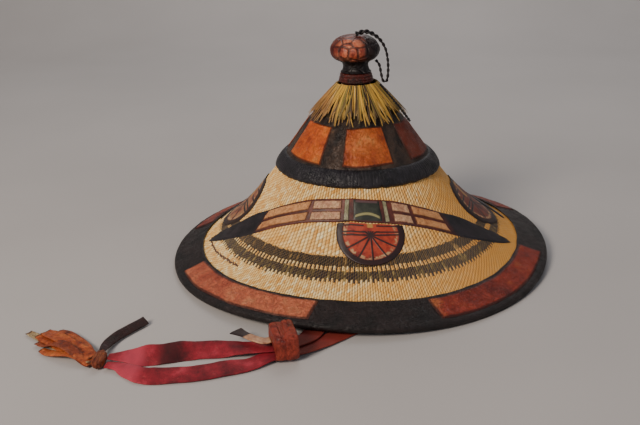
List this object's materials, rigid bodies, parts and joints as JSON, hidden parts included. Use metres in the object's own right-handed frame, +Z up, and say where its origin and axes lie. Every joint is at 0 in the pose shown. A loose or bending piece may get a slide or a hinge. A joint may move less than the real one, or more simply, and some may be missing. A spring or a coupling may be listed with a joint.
{
  "type": "woven straw hat",
  "caption": "Wide conical hat of plaited straw with appliqué leather, a folded leather rim, a capped crown with a knob, and a flat leather chin strap with slide and tassel.",
  "frame": {"origin": "on the hat's axis, on the surface the rim rests on", "axes": "+Z up along the crown, -Y towards the front, +X to the hat's left as worn, the picture's right"},
  "size_m": [0.555, 0.5273, 0.2682],
  "materials": {
    "straw": "plaited natural straw",
    "ruff_straw": "loose dyed straw",
    "black_leather": "worn black leather",
    "border_leather": "padded black leather",
    "red_leather": "dyed red-brown leather",
    "medallion_leather": "dyed orange-red leather",
    "orange_leather": "dyed orange leather",
    "tan_leather": "tan leather inlay",
    "dark_leather": "greenish black leather inlay",
    "knob_leather": "crackled orange-red leather",
    "collar_leather": "dark red leather",
    "lace_leather": "black leather lace",
    "strap_leather": "crimson leather",
    "slide_leather": "red leather",
    "tie_leather": "orange-brown leather",
    "thong_leather": "dark red leather"
  },
  "bodies": {
    "root": {"arc_band_back": "black_leather", "arc_band_front": "black_leather", "arc_cell_back_centre": "dark_leather", "arc_cell_back_left_high": "tan_leather", "arc_cell_back_left_low": "tan_leather", "arc_cell_back_mid_left_high": "tan_leather", "arc_cell_back_mid_left_low": "tan_leather", "arc_cell_back_mid_right_high": "tan_leather", "arc_cell_back_mid_right_low": "tan_leather", "arc_cell_back_right_high": "tan_leather", "arc_cell_back_right_low": "tan_leather", "arc_cell_front_centre": "dark_leather", "arc_cell_front_left_high": "tan_leather", "arc_cell_front_left_low": "tan_leather", "arc_cell_front_mid_left_high": "tan_leather", "arc_cell_front_mid_left_low": "tan_leather", "arc_cell_front_mid_right_high": "tan_leather", "arc_cell_front_mid_right_low": "tan_leather", "arc_cell_front_right_high": "tan_leather", "arc_cell_front_right_low": "tan_leather", "cap_border": "border_leather", "cap_leather": "black_leather", "cap_panel_1": "orange_leather", "cap_panel_2": "orange_leather", "cap_panel_3": "orange_leather", "cap_panel_4": "orange_leather", "cap_panel_5": "orange_leather", "cap_panel_6": "orange_leather", "chin_strap_left": "strap_leather", "chin_strap_right": "strap_leather", "knob": "knob_leather", "knob_collar": "collar_leather", "knob_lace": "lace_leather", "lace_tail": "lace_leather", "medallion_back": "medallion_leather", "medallion_front": "medallion_leather", "medallion_left": "red_leather", "medallion_right": "red_leather", "rim_leather": "black_leather", "rim_panel_1": "red_leather", "rim_panel_2": "red_leather", "rim_panel_3": "red_leather", "rim_panel_4": "red_leather", "slide_thong": "thong_leather", "strap_anchor_left": "thong_leather", "strap_anchor_right": "thong_leather", "strap_slide": "slide_leather", "strap_tassel": "tie_leather", "strap_tie": "tie_leather", "straw_body": "straw", "straw_ruff": "ruff_straw", "tie_thong": "thong_leather"}
  },
  "joints": []
}
